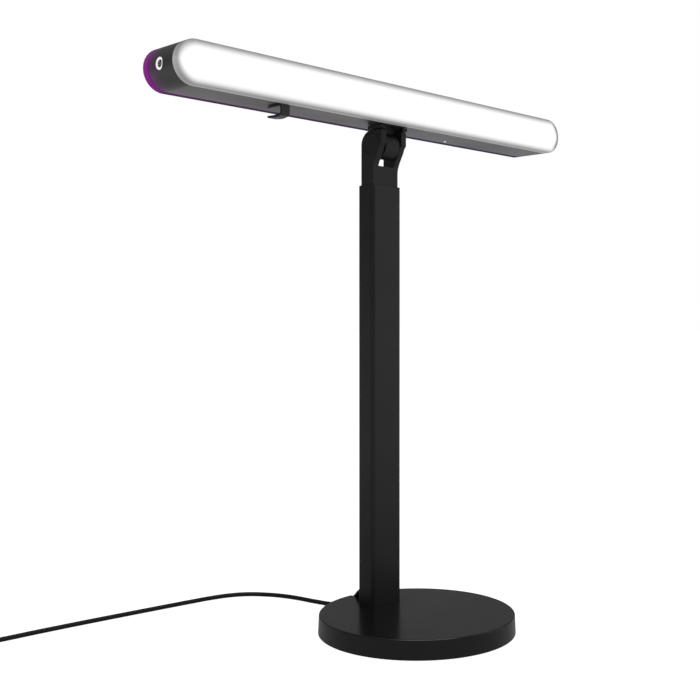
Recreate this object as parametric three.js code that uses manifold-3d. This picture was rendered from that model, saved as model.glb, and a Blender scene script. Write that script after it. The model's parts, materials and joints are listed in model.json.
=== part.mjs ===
// Desk light bar: a long lit bar that tilts on a telescoping post, which stands on
// a round weighted base. Millimetres, +Z up. The origin is the centre of the base's
// underside, X runs along the bar and -Y is the side that the light faces.
import * as THREE from 'three';
import { mergeVertices } from 'three/addons/utils/BufferGeometryUtils.js';
import Module from 'manifold-3d';

const wasm = await Module();
wasm.setup();

// ---------------------------------------------------------------- driving sizes
const GAP = 0.3; // clearance that touching pieces keep
const THROUGH = 30; // how far a cutting tool runs past what it cuts

const BASE = { topRadius: 62.5, footRadius: 63, height: 12.8, lift: 0.8, wall: 2.2, edge: 0.5 };
const PAD = { radius: 57, bore: 22, thickness: 1 };
const PLATE = { radius: 59.6, bottom: 1.3, thickness: 1.2 };
const WEIGHT = { radius: 57, bottom: 2.8, top: 9.9 };
const COVER_SCREWS = { ring: 50, count: 3, firstAngle: Math.PI / 6, bossRadius: 4 };
const COVER_SCREW = { head: 3, headHeight: 1, shank: 1.2, length: 6.4, seat: 1.5, pilot: 1.5, pilotTop: 9 };
const POST_SCREW = {
  head: 3.4, headHeight: 2.4, shank: 1.5, length: 16, seat: 5.9, pilot: 1.8, pilotTop: 24,
};
const NOTCH = { x: 2, width: 4.6, inner: 56.5, floor: 6.8, wall: 1.6 };

const POST = { y: 34.3, width: 26.5, depth: 14.1, corner: 2.5, wall: 1.2, bottom: 10.2, top: 287.7 };
const POST_FOOT = { top: 34, screwX: 8.2, leadWay: 3 };
const EXIT = { z: 17.5, hole: 2.7 }; // where the cord leaves the post
const GROMMET = { neck: 2.3, flange: 3.6, flangeDepth: 1.3, shoulder: 2.7, tip: 2, reach: 9 };

const MAST = { width: 23.5, depth: 11.1, corner: 1.6, wall: 1, bottom: 75, top: 285 };
const SHOE = { bottom: 58, spigotBottom: 70, spigotTop: 86, leadWay: 2.6, pocket: 2 };
const SPRING = { halfWidth: 4, bottom: 61, top: 72, seat: -4.3, bow: 1.8, thickness: 0.5 };
const CURLY_LEAD = { radius: 2.7, bottom: 20.8, top: 56 };
const MAST_LEAD = { radius: 1.5, bottom: 90, top: 262 };

const HINGE = { y: -3.95, z: 314 }; // y is measured from the post's axis
const FORK = {
  bottom: 285.3, spigot: 266, slotHalf: 7, slotFloor: 300.3, lobe: 9.5, front: -13.45, leadWay: 2,
};
const CAP = { radius: 7.2, thickness: 1.1 };
const BOLT = { shaft: 2.4, headRadius: 4.4, headHeight: 1.7 };
const WASHER = { radius: 7.4, thickness: 0.5, gap: 0.2 };
const BARREL = { radius: 8.8, halfLength: 6.1 };
const BRACKET = {
  half: 11.9, front: -13.9, rear: -1, recessHalf: 8, neckFront: -8.3, screwX: 9.8, screwY: -8.2,
};
const BRACKET_SCREW = { head: 1.9, headHeight: 1.1, shank: 0.9, length: 4, pilot: 1.2 };
const LEAD_HOLE = { y: -4.6, bracket: 1.5, housing: 3 };

const BAR = { length: 340, height: 25.1, z: 339.05, wall: 1.6 };
const HOUSING = { front: -15.05, rear: 8.8 }; // along Y from the post's axis
const DIFFUSER = { front: -21.6, fillet: 2.6, lip: 3, wall: 1.8 };
const REAR_DIFFUSER = { rear: 14.5, fillet: 1.2, lip: 1.2, wall: 1.8 };
const LIP_WALL = 1.2;
const GUIDE = { inset: 4, rear: -10.85, front: -11.85 };
const BOARD = { length: 296, height: 14 };
const LED_HALF = 1.4;
const CHANNEL = { half: 8.4, wall: 1.2, webRear: -1.8, webFront: -3.4, overhang: 2 };
const CONTROL = { left: -158.6, right: -157.6, chipRight: -156.2, socketRight: -153.6 };
const SWITCH = { left: -162, right: -158.9, half: 3, plunger: 1.3, plungerLeft: -162.6 };
const BUTTON = { y: -2, ringRadius: 3.5, boreRadius: 2.4, capRadius: 2.1, stemRadius: 1.2, face: -169.6 };
const CLIP = { x: -92.6, width: 6, front: -16.1, reach: 13.4, slot: 4.2, upper: 1, lower: 1.5, back: 1.5 };
const STATUS = { x: 69, y: 4.5, radius: 1.3, top: -9 };
const HEAD_LEAD_RADIUS = 0.9;

const CORD = { radius: 1.5, sides: 8 };
const COIL = { x: -243, y: 151.25, meanRadius: 15.75, columns: 3, layers: 4, lift: 0.7 };
const TIE = { width: 6, thickness: 0.8 };
const PLUG = { width: 15.6, length: 20, height: 8, corner: 2, rear: 110, lift: 0.1 };
const SHELL = { width: 12, height: 4.5, length: 12, corner: 0.5, mouthHalf: 5.6, mouthTop: 1.85, floor: 2 };

const barUnder = BAR.z - BAR.height / 2;
const forkHalf = MAST.width / 2;
const plugX = COIL.x - COIL.meanRadius - (COIL.columns - 1) * CORD.radius; // under the outermost turn

// ---------------------------------------------------------------- materials
function finish(color, roughness, metalness = 0) {
  return () => new THREE.MeshStandardMaterial({ color, roughness, metalness });
}
const blackMetal = finish(0x1b1b1c, 0.5, 0.4);
const blackPlastic = finish(0x202021, 0.55);
const gloss = finish(0x2c2c2e, 0.3);
const rubber = finish(0x141414, 0.9);
const steel = finish(0x9a9c9f, 0.35, 1);
const castIron = finish(0x4a4a4c, 0.7, 0.9);
const aluminium = finish(0xb4b7ba, 0.4, 1);
const opalWhite = finish(0xf6f6f4, 0.4);
const violetPanel = finish(0x8a2ac0, 0.4);
const greenBoard = finish(0x1f5a3a, 0.6);
const cordBlack = finish(0x111112, 0.6);

// ---------------------------------------------------------------- solids
function toSolid(geometry) {
  const bare = geometry.clone();
  bare.deleteAttribute('normal');
  bare.deleteAttribute('uv');
  const merged = mergeVertices(bare, 1e-4);
  return new wasm.Manifold(new wasm.Mesh({
    numProp: 3,
    vertProperties: new Float32Array(merged.attributes.position.array),
    triVerts: new Uint32Array(merged.index.array),
  }));
}

function toGeometry(solid) {
  const mesh = solid.getMesh();
  const geometry = new THREE.BufferGeometry();
  geometry.setAttribute('position', new THREE.BufferAttribute(mesh.vertProperties, 3));
  geometry.setIndex(new THREE.BufferAttribute(mesh.triVerts, 1));
  geometry.computeVertexNormals();
  return geometry;
}

function cut(body, ...tools) {
  return toGeometry(tools.reduce((solid, tool) => solid.subtract(toSolid(tool)), toSolid(body)));
}

function join(body, ...others) {
  return toGeometry(others.reduce((solid, other) => solid.add(toSolid(other)), toSolid(body)));
}

// A box given by its lowest and highest corners.
function block(low, high) {
  const size = high.map((value, i) => value - low[i]);
  const middle = high.map((value, i) => (value + low[i]) / 2);
  return new THREE.BoxGeometry(...size).translate(...middle);
}

// Cylinders along each axis, from one end to the other.
function rodZ(radius, x, y, low, high, sides = 20) {
  const rod = new THREE.CylinderGeometry(radius, radius, high - low, sides);
  return rod.rotateX(Math.PI / 2).translate(x, y, (low + high) / 2);
}

function rodX(radius, low, high, y, z, sides = 24) {
  const rod = new THREE.CylinderGeometry(radius, radius, high - low, sides);
  return rod.rotateZ(Math.PI / 2).translate((low + high) / 2, y, z);
}

// A rod on the tilt axis between two distances from the middle, towards +X or -X.
function hingeRod(side, radius, inner, outer, sides = 24) {
  const [low, high] = [side * inner, side * outer].sort((a, b) => a - b);
  return rodX(radius, low, high, HINGE.y, HINGE.z, sides);
}

function rodY(radius, x, low, high, z, sides = 20) {
  const rod = new THREE.CylinderGeometry(radius, radius, high - low, sides);
  return rod.translate(x, (low + high) / 2, z);
}

// A solid turned about Z from [radius, height] pairs, given so that its outside runs upwards.
function turned(profile, segments) {
  const points = profile.map(([r, z]) => new THREE.Vector2(r, z));
  return new THREE.LatheGeometry(points, segments).rotateX(Math.PI / 2);
}

// A rectangle with round corners, centred on the origin.
function roundedRect(width, height, radius) {
  const [w, h] = [width / 2, height / 2];
  const shape = new THREE.Shape();
  shape.moveTo(w - radius, -h);
  shape.absarc(w - radius, -h + radius, radius, -Math.PI / 2, 0);
  shape.absarc(w - radius, h - radius, radius, 0, Math.PI / 2);
  shape.absarc(-w + radius, h - radius, radius, Math.PI / 2, Math.PI);
  shape.absarc(-w + radius, -h + radius, radius, Math.PI, 1.5 * Math.PI);
  return shape;
}

// A rectangle given by its two spans.
function rectangle(left, right, low, high) {
  const corners = [[left, low], [right, low], [right, high], [left, high]];
  return new THREE.Shape(corners.map(([u, v]) => new THREE.Vector2(u, v)));
}

// A strip with full round ends, centred on the origin.
function capsule(length, height) {
  const [reach, radius] = [(length - height) / 2, height / 2];
  const shape = new THREE.Shape();
  shape.moveTo(reach, -radius);
  shape.absarc(reach, 0, radius, -Math.PI / 2, Math.PI / 2);
  shape.absarc(-reach, 0, radius, Math.PI / 2, 1.5 * Math.PI);
  return shape;
}

function extrude(shape, depth, curveSegments, bevel = 0, bevelSegments = 3) {
  return new THREE.ExtrudeGeometry(shape, {
    depth: depth - 2 * bevel,
    curveSegments,
    bevelEnabled: bevel > 0,
    bevelSize: bevel,
    bevelThickness: bevel,
    bevelOffset: -bevel,
    bevelSegments,
  }).translate(0, 0, bevel);
}

// A hollow rectangular tube standing along Z.
function rectTube(size, low, high) {
  const outline = roundedRect(size.width, size.depth, size.corner);
  outline.holes.push(roundedRect(
    size.width - 2 * size.wall,
    size.depth - 2 * size.wall,
    Math.max(size.corner - size.wall, 0.4),
  ));
  return extrude(outline, high - low, 4).translate(0, 0, low);
}

function rectColumn(width, depth, corner, low, high) {
  return extrude(roundedRect(width, depth, corner), high - low, 3).translate(0, 0, low);
}

// The bar's outline, inset all round, extruded along Y between two places.
function barSlab(inset, rear, front, bevel = 0) {
  const outline = capsule(BAR.length - 2 * inset, BAR.height - 2 * inset);
  const slab = extrude(outline, rear - front, 14, bevel, 3);
  return slab.rotateX(Math.PI / 2).translate(0, rear, 0);
}

// An outline drawn in the Y-Z plane, extruded along X from low to high.
function sideProfile(shape, low, high, curveSegments, bevel = 0) {
  const axes = [[0, 1, 0], [0, 0, 1], [1, 0, 0]].map((axis) => new THREE.Vector3(...axis));
  const turn = new THREE.Matrix4().makeBasis(...axes);
  return extrude(shape, high - low, curveSegments, bevel, 2).applyMatrix4(turn).translate(low, 0, 0);
}

// A screw standing along Z: its head's underside is at z = 0 and its shank points up.
function screw({ head, headHeight, shank, length }) {
  const [edge, point] = [0.3, 0.5];
  const profile = [
    [0, -headHeight], [head - edge, -headHeight], [head, edge - headHeight], [head, 0],
    [shank, 0], [shank, length - point], [shank - point, length], [0, length],
  ];
  const socket = rodZ(head * 0.45, 0, 0, -headHeight - 1, -headHeight * 0.4, 6);
  return cut(turned(profile, 10), socket);
}

// ---------------------------------------------------------------- scene graph
const lamp = new THREE.Group();
const post = new THREE.Group(); // everything placed from the post's axis
post.position.set(0, POST.y, 0);
const bar = new THREE.Group(); // everything placed from the bar's centre
bar.position.set(0, POST.y, BAR.z);
lamp.add(post, bar);

function add(group, name, geometry, material) {
  const mesh = new THREE.Mesh(geometry, material());
  mesh.name = name;
  group.add(mesh);
}

// ---------------------------------------------------------------- base
function ringPoints(ring, count, firstAngle) {
  return Array.from({ length: count }, (_, i) => {
    const angle = firstAngle + (i * 2 * Math.PI) / count;
    return [ring * Math.cos(angle), ring * Math.sin(angle)];
  });
}
const coverScrewPlaces = ringPoints(COVER_SCREWS.ring, COVER_SCREWS.count, COVER_SCREWS.firstAngle);
const postScrewPlaces = [-POST_FOOT.screwX, POST_FOOT.screwX].map((x) => [x, POST.y]);

function cordNotch() {
  const half = NOTCH.width / 2;
  const { x, inner, floor } = NOTCH;
  const slot = block([x - half, inner, floor], [x + half, inner + THROUGH, floor + THROUGH]);
  return join(slot, rodZ(half, x, inner, floor, floor + THROUGH, 16));
}

function baseCover() {
  const { topRadius, footRadius, height, lift, wall, edge } = BASE;
  const profile = [
    [0, height - wall], [topRadius - wall, height - wall], [footRadius - wall, lift],
    [footRadius - edge, lift], [footRadius, lift + edge], [topRadius, height - 2 * edge],
    [topRadius - 0.5 * edge, height - 0.6 * edge], [topRadius - 1.8 * edge, height], [0, height],
  ];
  const shell = turned(profile, 64);
  const inside = height - wall + 0.5;
  const bosses = coverScrewPlaces.map(([x, y]) => {
    return rodZ(COVER_SCREWS.bossRadius, x, y, WEIGHT.bottom, inside, 16);
  });
  const notchHalf = NOTCH.width / 2 + NOTCH.wall + GAP;
  const notchBox = block(
    [NOTCH.x - notchHalf, NOTCH.inner - NOTCH.wall, NOTCH.floor - NOTCH.wall],
    [NOTCH.x + notchHalf, topRadius - 1, inside],
  );
  const { pilot, pilotTop } = COVER_SCREW;
  const pilots = coverScrewPlaces.map(([x, y]) => rodZ(pilot, x, y, 0, pilotTop, 12));
  const postHole = rectColumn(POST.width + 2 * GAP, POST.depth + 2 * GAP, POST.corner + GAP, 0, THROUGH);
  return cut(join(shell, ...bosses, notchBox), cordNotch(), postHole.translate(0, POST.y, 0), ...pilots);
}

function baseWeight() {
  const disc = rodZ(WEIGHT.radius, 0, 0, WEIGHT.bottom, WEIGHT.top, 48);
  const bossHoles = coverScrewPlaces.map(([x, y]) => {
    return rodZ(COVER_SCREWS.bossRadius + 0.5, x, y, 0, THROUGH, 16);
  });
  const rearRecess = block([NOTCH.x - 5, NOTCH.inner - 2, 0], [NOTCH.x + 5, WEIGHT.radius + 3, THROUGH]);
  const postScrewHoles = postScrewPlaces.flatMap(([x, y]) => [
    rodZ(POST_SCREW.shank + 0.5, x, y, 0, THROUGH, 14),
    rodZ(POST_SCREW.head + 0.5, x, y, 0, POST_SCREW.seat + GAP, 16),
  ]);
  return cut(disc, ...bossHoles, rearRecess, ...postScrewHoles);
}

function basePlate() {
  const top = PLATE.bottom + PLATE.thickness;
  const disc = rodZ(PLATE.radius, 0, 0, PLATE.bottom, top, 48);
  const screwHoles = coverScrewPlaces.map(([x, y]) => rodZ(COVER_SCREW.shank + 0.5, x, y, 0, THROUGH, 12));
  const recesses = coverScrewPlaces.map(([x, y]) => {
    return rodZ(COVER_SCREW.head + GAP, x, y, 0, PLATE.bottom + 0.5, 12);
  });
  return cut(disc, ...screwHoles, ...recesses);
}

function footPad() {
  const disc = rodZ(PAD.radius, 0, 0, 0, PAD.thickness, 40);
  const screwHoles = coverScrewPlaces.map(([x, y]) => rodZ(COVER_SCREW.head + 0.6, x, y, -1, THROUGH, 12));
  return cut(disc, rodZ(PAD.bore, 0, 0, -1, THROUGH, 24), ...screwHoles);
}

add(lamp, 'base_cover', baseCover(), blackMetal);
add(lamp, 'base_weight', baseWeight(), castIron);
add(lamp, 'base_plate', basePlate(), blackPlastic);
add(lamp, 'foot_pad', footPad(), rubber);
coverScrewPlaces.forEach(([x, y], i) => {
  add(lamp, `cover_screw_${i + 1}`, screw(COVER_SCREW).translate(x, y, COVER_SCREW.seat), steel);
});
postScrewPlaces.forEach(([x, y], i) => {
  add(lamp, `post_screw_${i + 1}`, screw(POST_SCREW).translate(x, y, POST_SCREW.seat), steel);
});

// ---------------------------------------------------------------- post
function postFoot() {
  const fit = 2 * (POST.wall + GAP);
  const plug = rectColumn(POST.width - fit, POST.depth - fit, 1, POST.bottom, POST_FOOT.top);
  const pilots = postScrewPlaces.map(([x]) => rodZ(POST_SCREW.pilot, x, 0, 0, POST_SCREW.pilotTop, 14));
  const leadWay = rodZ(POST_FOOT.leadWay, 0, 0, EXIT.z - POST_FOOT.leadWay, EXIT.z + THROUGH, 16);
  const sideWay = rodY(POST_FOOT.leadWay, 0, 0, THROUGH, EXIT.z, 16);
  return cut(plug, ...pilots, join(leadWay, sideWay));
}

function outerTube() {
  return cut(rectTube(POST, POST.bottom, POST.top), rodY(EXIT.hole, 0, 2, THROUGH, EXIT.z, 16));
}

// A stepped sleeve in the post's rear wall that tapers round the cord.
function cordGrommet() {
  const face = POST.depth / 2 + GAP;
  const root = face - POST.wall - GAP - 1;
  const { neck, flange, flangeDepth, shoulder, tip, reach } = GROMMET;
  const profile = [
    [0, root], [neck, root], [neck, face], [flange, face], [flange, face + flangeDepth],
    [shoulder, face + flangeDepth + 0.6], [tip, face - GAP + reach], [0, face - GAP + reach],
  ];
  return turned(profile, 16).rotateX(-Math.PI / 2).translate(0, 0, EXIT.z);
}

add(post, 'post_foot', postFoot(), castIron);
add(post, 'outer_tube', outerTube(), blackMetal);
add(post, 'cord_grommet', cordGrommet(), rubber);
add(post, 'coiled_lead', rodZ(CURLY_LEAD.radius, 0, 0, CURLY_LEAD.bottom, CURLY_LEAD.top, 12), cordBlack);

// ---------------------------------------------------------------- mast
const mastInset = 2 * (MAST.wall + GAP); // what fits inside the mast is smaller by this

function sliderShoe() {
  const foot = rectColumn(MAST.width, MAST.depth, 1.2, SHOE.bottom, MAST.bottom - GAP);
  const spigot = rectColumn(
    MAST.width - mastInset, MAST.depth - mastInset, 0.6, SHOE.spigotBottom, SHOE.spigotTop,
  );
  const pocketHalf = SPRING.halfWidth + 1;
  const pocket = block(
    [-pocketHalf, -MAST.depth, SHOE.bottom + SHOE.pocket],
    [pocketHalf, SPRING.seat + 0.4, MAST.bottom - SHOE.pocket],
  );
  const leadWay = rodZ(SHOE.leadWay, 0, 0.4, SHOE.bottom - 1, SHOE.spigotTop + 1, 16);
  return cut(join(foot, spigot), pocket, leadWay);
}

// A bowed leaf that presses the shoe against the post's wall.
function frictionSpring() {
  const { halfWidth, bottom, top, seat, bow, thickness } = SPRING;
  const middle = (bottom + top) / 2;
  const leaf = new THREE.Shape();
  leaf.moveTo(seat, bottom);
  leaf.quadraticCurveTo(seat - bow, middle, seat, top);
  leaf.lineTo(seat - thickness, top);
  leaf.quadraticCurveTo(seat - bow - thickness, middle, seat - thickness, bottom);
  return sideProfile(leaf, -halfWidth, halfWidth, 8);
}

// The fork's outline from the side: a plain stem that swells forward into two ears.
function forkOutline() {
  const rear = MAST.depth / 2;
  const top = HINGE.z + FORK.lobe;
  const shape = new THREE.Shape();
  shape.moveTo(-rear, FORK.bottom);
  shape.lineTo(rear, FORK.bottom);
  shape.lineTo(rear, HINGE.z);
  shape.absarc(HINGE.y, HINGE.z, FORK.lobe, 0, Math.PI / 2);
  shape.lineTo(FORK.front + 1, top);
  shape.absarc(FORK.front + 1, top - 1, 1, Math.PI / 2, Math.PI);
  shape.lineTo(FORK.front, HINGE.z + 0.2);
  shape.lineTo(FORK.front + 1.6, HINGE.z - 1.7);
  shape.bezierCurveTo(-10.2, 307, -rear, 302.5, -rear, 296.5);
  return shape;
}

// How far from the middle the bolt's head and nut, and the caps over them, sit.
const capFloor = forkHalf - CAP.thickness;
const headFloor = capFloor - BOLT.headHeight - 0.1;

function forkHead() {
  const body = sideProfile(forkOutline(), -forkHalf, forkHalf, 7, 0.8);
  const spigot = rectColumn(
    MAST.width - mastInset, MAST.depth - mastInset, 0.6, FORK.spigot, FORK.bottom + 1.7,
  );
  const slot = block(
    [-FORK.slotHalf, -THROUGH, FORK.slotFloor],
    [FORK.slotHalf, THROUGH, FORK.slotFloor + THROUGH],
  );
  const bore = rodX(BOLT.shaft + GAP, -THROUGH, THROUGH, HINGE.y, HINGE.z);
  const pockets = [-1, 1].flatMap((side) => [
    hingeRod(side, CAP.radius + GAP, capFloor, THROUGH),
    hingeRod(side, BOLT.headRadius + GAP, headFloor, THROUGH),
  ]);
  const leadWay = rodZ(FORK.leadWay, 0, 0, FORK.spigot - 1, FORK.slotFloor + 1, 14);
  return cut(join(body, spigot), slot, bore, ...pockets, leadWay);
}

function pivotBolt() {
  const head = hingeRod(-1, BOLT.headRadius, headFloor + GAP, capFloor - GAP, 20);
  const shaft = rodX(BOLT.shaft, -headFloor - 0.5, capFloor - 0.4, HINGE.y, HINGE.z, 20);
  return join(head, shaft);
}

function pivotNut() {
  const nut = hingeRod(1, BOLT.headRadius, headFloor + GAP, capFloor - GAP, 6);
  return cut(nut, hingeRod(1, BOLT.shaft + GAP, 0, THROUGH, 20));
}

function pivotCap(side) {
  return hingeRod(side, CAP.radius, capFloor + 0.2, forkHalf + 0.15, 28);
}

function frictionWasher(side) {
  const inner = BARREL.halfLength + WASHER.gap;
  const disc = hingeRod(side, WASHER.radius, inner, inner + WASHER.thickness);
  return cut(disc, hingeRod(side, BOLT.shaft + GAP, 0, THROUGH, 20));
}

add(post, 'inner_tube', rectTube(MAST, MAST.bottom, MAST.top), blackMetal);
add(post, 'slider_shoe', sliderShoe(), opalWhite);
add(post, 'friction_spring', frictionSpring(), steel);
add(post, 'fork_head', forkHead(), blackPlastic);
add(post, 'pivot_bolt', pivotBolt(), steel);
add(post, 'pivot_nut', pivotNut(), steel);
add(post, 'pivot_cap_left', pivotCap(-1), blackPlastic);
add(post, 'pivot_cap_right', pivotCap(1), blackPlastic);
add(post, 'friction_washer_left', frictionWasher(-1), blackPlastic);
add(post, 'friction_washer_right', frictionWasher(1), blackPlastic);
add(post, 'mast_lead', rodZ(MAST_LEAD.radius, 0, 0, MAST_LEAD.bottom, MAST_LEAD.top, 10), cordBlack);

// ---------------------------------------------------------------- tilt bracket
// A barrel between the fork's ears, a neck above it and a plate screwed to the bar.
function tiltBracket() {
  const { half, front, rear, recessHalf, neckFront, screwX, screwY } = BRACKET;
  const top = barUnder - GAP;
  const bottom = HINGE.z + FORK.lobe + GAP;
  const barrel = rodX(BARREL.radius, -BARREL.halfLength, BARREL.halfLength, HINGE.y, HINGE.z, 40);
  const neck = block([-BARREL.halfLength, neckFront, HINGE.z], [BARREL.halfLength, rear, top - 0.5]);
  const plate = block([-half, front, bottom], [half, rear, top]);
  const frontRecess = block([-recessHalf, front - 1, bottom - 1], [recessHalf, neckFront, top + 1]);
  const bore = rodX(BOLT.shaft + GAP, -THROUGH, THROUGH, HINGE.y, HINGE.z);
  const pilots = [-1, 1].map((side) => {
    return rodZ(BRACKET_SCREW.pilot, side * screwX, screwY, bottom - 1, top + 1, 12);
  });
  const leadWay = rodZ(LEAD_HOLE.bracket, 0, LEAD_HOLE.y, HINGE.z, top + 1, 12);
  return cut(join(cut(join(barrel, plate), frontRecess), neck), bore, leadWay, ...pilots);
}

add(post, 'tilt_bracket', tiltBracket(), blackPlastic);
[-1, 1].forEach((side, i) => {
  const fastener = screw(BRACKET_SCREW).rotateX(Math.PI);
  const seat = -BAR.height / 2 + BAR.wall + 0.2;
  add(bar, `bracket_screw_${i + 1}`, fastener.translate(side * BRACKET.screwX, BRACKET.screwY, seat), steel);
});

// ---------------------------------------------------------------- light bar
function barHousing() {
  const shell = cut(
    barSlab(0, HOUSING.rear, HOUSING.front),
    barSlab(BAR.wall, HOUSING.rear + 1, HOUSING.front - 1),
  );
  const screwHoles = [-1, 1].map((side) => {
    return rodZ(BRACKET_SCREW.pilot, side * BRACKET.screwX, BRACKET.screwY, -THROUGH, 0, 12);
  });
  const leadHole = rodZ(LEAD_HOLE.housing, 0, LEAD_HOLE.y, -THROUGH, 0, 14);
  const left = -BAR.length / 2;
  const buttonHole = rodX(BUTTON.ringRadius + 0.2, left - 10, left + 10, BUTTON.y, 0);
  const statusHole = rodZ(STATUS.radius + 0.2, STATUS.x, STATUS.y, -THROUGH, 0, 14);
  return cut(shell, ...screwHoles, leadHole, buttonHole, statusHole);
}

// A hollow cap that closes one side of the housing, with a lip that plugs into it.
// rim is the plane of its edge, and outward is +1 for the rear and -1 for the front.
function diffuser({ face, rim, fillet, lip, wall }, outward) {
  const along = (...places) => places.sort((a, b) => b - a);
  const full = barSlab(0, ...along(face, rim - outward * 10), fillet);
  const [low, high] = along(rim, rim - outward * THROUGH).reverse();
  const cap = cut(full, block([-BAR.length, low, -BAR.height], [BAR.length, high, BAR.height]));
  const lipInset = BAR.wall + GAP;
  const plug = barSlab(lipInset, ...along(rim + outward, rim - outward * lip));
  const hollow = barSlab(lipInset + LIP_WALL, ...along(face - outward * wall, rim - outward * 10));
  return cut(join(cap, plug), hollow);
}

function frontDiffuser() {
  return diffuser({ face: DIFFUSER.front, rim: HOUSING.front - GAP, ...DIFFUSER }, -1);
}

function rearDiffuser() {
  return diffuser({ face: REAR_DIFFUSER.rear, rim: HOUSING.rear + GAP, ...REAR_DIFFUSER }, 1);
}

// A strip of circuit board in the X-Z plane with a row of light-emitting packages.
function ledBoard(rear, front, ledFace, count) {
  const halfLength = BOARD.length / 2;
  const strip = block([-halfLength, front, -BOARD.height / 2], [halfLength, rear, BOARD.height / 2]);
  const pitch = BOARD.length / count;
  const leds = Array.from({ length: count }, (_, i) => {
    const x = -halfLength + (i + 0.5) * pitch;
    const [low, high] = [Math.min(ledFace, front + 0.1), Math.max(ledFace, rear - 0.1)];
    return block([x - LED_HALF, low, -LED_HALF], [x + LED_HALF, high, LED_HALF]);
  });
  return join(strip, ...leds);
}

// A channel that carries both boards and spreads their heat.
function heatSpreader() {
  const halfLength = BOARD.length / 2 + CHANNEL.overhang;
  const { half, wall, webRear, webFront } = CHANNEL;
  const web = block([-halfLength, webFront, -half], [halfLength, webRear, half]);
  const lower = block([-halfLength, -3, -half], [halfLength, 3, wall - half]);
  return join(web, lower, lower.clone().translate(0, 0, 2 * half - wall));
}

function controlBoard() {
  const { left, right, chipRight, socketRight } = CONTROL;
  const board = block([left, -8, -8], [right, 7, 8]);
  const chip = block([right - 0.2, -4, -6], [chipRight, 3, 1]);
  const socket = block([right - 0.2, -5, 3], [socketRight, 3, 7]);
  return join(board, chip, socket);
}

function tactSwitch() {
  const { left, right, half, plunger, plungerLeft } = SWITCH;
  const can = block([left, BUTTON.y - half, -half], [right, BUTTON.y + half, half]);
  return join(can, rodX(plunger, plungerLeft, left + 0.2, BUTTON.y, 0, 16));
}

function buttonRing() {
  const ring = rodX(BUTTON.ringRadius, BUTTON.face, BUTTON.face + 2.6, BUTTON.y, 0, 32);
  return cut(ring, rodX(BUTTON.boreRadius, BUTTON.face - 1, BUTTON.face + 5, BUTTON.y, 0, 28));
}

function powerButton() {
  const cap = rodX(BUTTON.capRadius, BUTTON.face + 0.3, BUTTON.face + 3.4, BUTTON.y, 0, 24);
  return join(cap, rodX(BUTTON.stemRadius, BUTTON.face + 3, BUTTON.face + 6.2, BUTTON.y, 0, 16));
}

// A hook under the bar, open to the rear, that a cable is laid into.
function cableClip() {
  const top = -BAR.height / 2 - GAP;
  const slotTop = top - CLIP.upper;
  const slotBottom = slotTop - CLIP.slot;
  const bottom = slotBottom - CLIP.lower;
  const tip = CLIP.front + CLIP.reach;
  const shape = new THREE.Shape();
  shape.moveTo(CLIP.front, top);
  shape.lineTo(CLIP.front, bottom + 0.8);
  shape.lineTo(CLIP.front + 0.8, bottom);
  shape.quadraticCurveTo((CLIP.front + tip) / 2, bottom - 1, tip, bottom);
  shape.lineTo(tip, slotBottom - 0.3);
  shape.quadraticCurveTo((CLIP.front + tip) / 2, slotBottom - 0.6, CLIP.front + CLIP.back + 0.7, slotBottom);
  shape.lineTo(CLIP.front + CLIP.back, slotBottom + 0.7);
  shape.lineTo(CLIP.front + CLIP.back, slotTop);
  shape.lineTo(tip, slotTop);
  shape.lineTo(tip, top);
  return sideProfile(shape, CLIP.x - CLIP.width / 2, CLIP.x + CLIP.width / 2, 6);
}

function headLead() {
  const points = [
    [0.8, LEAD_HOLE.y, -12.5], [0.6, LEAD_HOLE.y, -11.2], [-0.6, -4.5, -9.9], [-5, -3.6, -9.6],
    [-30, -1, -9.65], [-80, -1, -9.7], [-152, -1, -9.7],
  ];
  return cordTube(points, HEAD_LEAD_RADIUS, 24);
}

add(bar, 'bar_housing', barHousing(), gloss);
add(bar, 'front_diffuser', frontDiffuser(), opalWhite);
add(bar, 'rear_diffuser', rearDiffuser(), violetPanel);
add(bar, 'light_guide', barSlab(GUIDE.inset, GUIDE.rear, GUIDE.front), opalWhite);
add(bar, 'front_led_board', ledBoard(-3.7, -4.7, -5.5, 24), greenBoard);
add(bar, 'heat_spreader', heatSpreader(), aluminium);
add(bar, 'rear_led_board', ledBoard(4.3, 3.3, 5.1, 16), greenBoard);
add(bar, 'control_board', controlBoard(), greenBoard);
add(bar, 'tact_switch', tactSwitch(), steel);
add(bar, 'button_ring', buttonRing(), opalWhite);
add(bar, 'power_button', powerButton(), blackPlastic);
add(bar, 'cable_clip', cableClip(), blackPlastic);
const statusPin = rodZ(STATUS.radius, STATUS.x, STATUS.y, -BAR.height / 2, STATUS.top, 16);
add(bar, 'status_light', statusPin, opalWhite);

// ---------------------------------------------------------------- cord
// A tube along a smooth curve through the points.
function cordTube(points, radius, steps) {
  const corners = ringPoints(radius, CORD.sides, 0);
  const section = new THREE.Shape(corners.map(([x, y]) => new THREE.Vector2(x, y)));
  const places = points.map((point) => new THREE.Vector3(...point));
  const extrudePath = new THREE.CatmullRomCurve3(places, false, 'centripetal');
  return new THREE.ExtrudeGeometry(section, { extrudePath, steps });
}

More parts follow.
